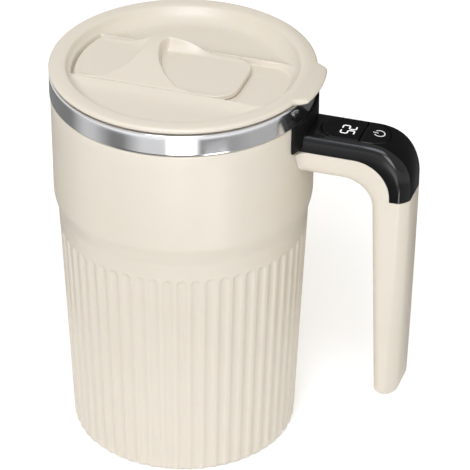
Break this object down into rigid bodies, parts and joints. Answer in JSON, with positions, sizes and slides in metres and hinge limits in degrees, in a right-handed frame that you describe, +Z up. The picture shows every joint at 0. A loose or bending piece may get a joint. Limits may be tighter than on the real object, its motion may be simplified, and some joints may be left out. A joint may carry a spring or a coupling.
{
  "type": "self-stirring mug",
  "caption": "Lidded steel cup in a fluted plastic shell, with a motor-driven magnetic stirrer, a sliding sip cover and an open-ended handle holding a temperature display and a button",
  "frame": {"origin": "centre of the foot's flat underside, on the cup's axis", "axes": "+Z up along the cup's axis, +X toward the handle"},
  "size_m": [0.1242, 0.0884, 0.1391],
  "materials": {
    "cream_plastic": "satin",
    "black_plastic": "polished",
    "dark_window": "polished",
    "steel": "brushed",
    "pale_silicone": "matte",
    "grey_silicone": "matte",
    "grey_plastic": "matte",
    "white_plastic": "matte",
    "board": "satin",
    "magnet": "nickel plated",
    "battery_wrap": "satin",
    "cable_jacket": "satin"
  },
  "bodies": {
    "mug": {"outer_shell": "cream_plastic", "cup_liner": "steel", "rim_gasket": "pale_silicone", "support_ring": "pale_silicone", "foot_pad": "grey_silicone", "base_cover": "grey_plastic", "base_screw_1": "steel", "base_screw_2": "steel", "base_screw_3": "steel", "motor_frame": "white_plastic", "motor": "steel", "motor_screw_1": "steel", "motor_screw_2": "steel", "stirrer_pivot": "steel", "main_board": "board", "battery": "battery_wrap", "charge_socket": "steel", "temperature_probe": "steel", "handle_body": "cream_plastic", "handle_cap": "black_plastic", "display_window": "dark_window", "display_module": "white_plastic", "handle_board": "board", "power_switch": "grey_plastic", "handle_cable": "cable_jacket", "handle_screw_1": "steel", "handle_screw_2": "steel"},
    "lid": {"lid_body": "cream_plastic", "lid_gasket": "pale_silicone", "sip_seal": "pale_silicone"},
    "slider": {"lid_slider": "cream_plastic"},
    "button": {"power_button": "black_plastic"},
    "rotor": {"motor_shaft": "steel", "magnet_carrier": "grey_plastic", "drive_magnet_1": "magnet", "drive_magnet_2": "magnet"},
    "stirrer": {"stirrer": "grey_plastic", "stirrer_magnet_1": "magnet", "stirrer_magnet_2": "magnet"}
  },
  "joints": [
    {"name": "lid_lift", "type": "slide", "parent": "mug", "child": "lid", "axis": [0, 0, 1], "range_m": [0, 0.05]},
    {"name": "sip_slide", "type": "slide", "parent": "lid", "child": "slider", "axis": [1, 0, 0], "range_m": [0, 0.0135]},
    {"name": "power_press", "type": "slide", "parent": "mug", "child": "button", "axis": [0, 0, -1], "range_m": [0, 0.0005], "stiffness_N_per_m": 3000, "springref_m": -0.0001},
    {"name": "rotor_spin", "type": "hinge", "parent": "mug", "child": "rotor", "pos_m": [0, 0, 0.033], "axis": [0, 0, 1], "continuous": true},
    {"name": "stirrer_spin", "type": "hinge", "parent": "mug", "child": "stirrer", "pos_m": [0, 0, 0.042], "axis": [0, 0, 1], "continuous": true}
  ],
  "couplings": [
    {"joint": "stirrer_spin", "follows": "rotor_spin", "ratio": 1}
  ]
}
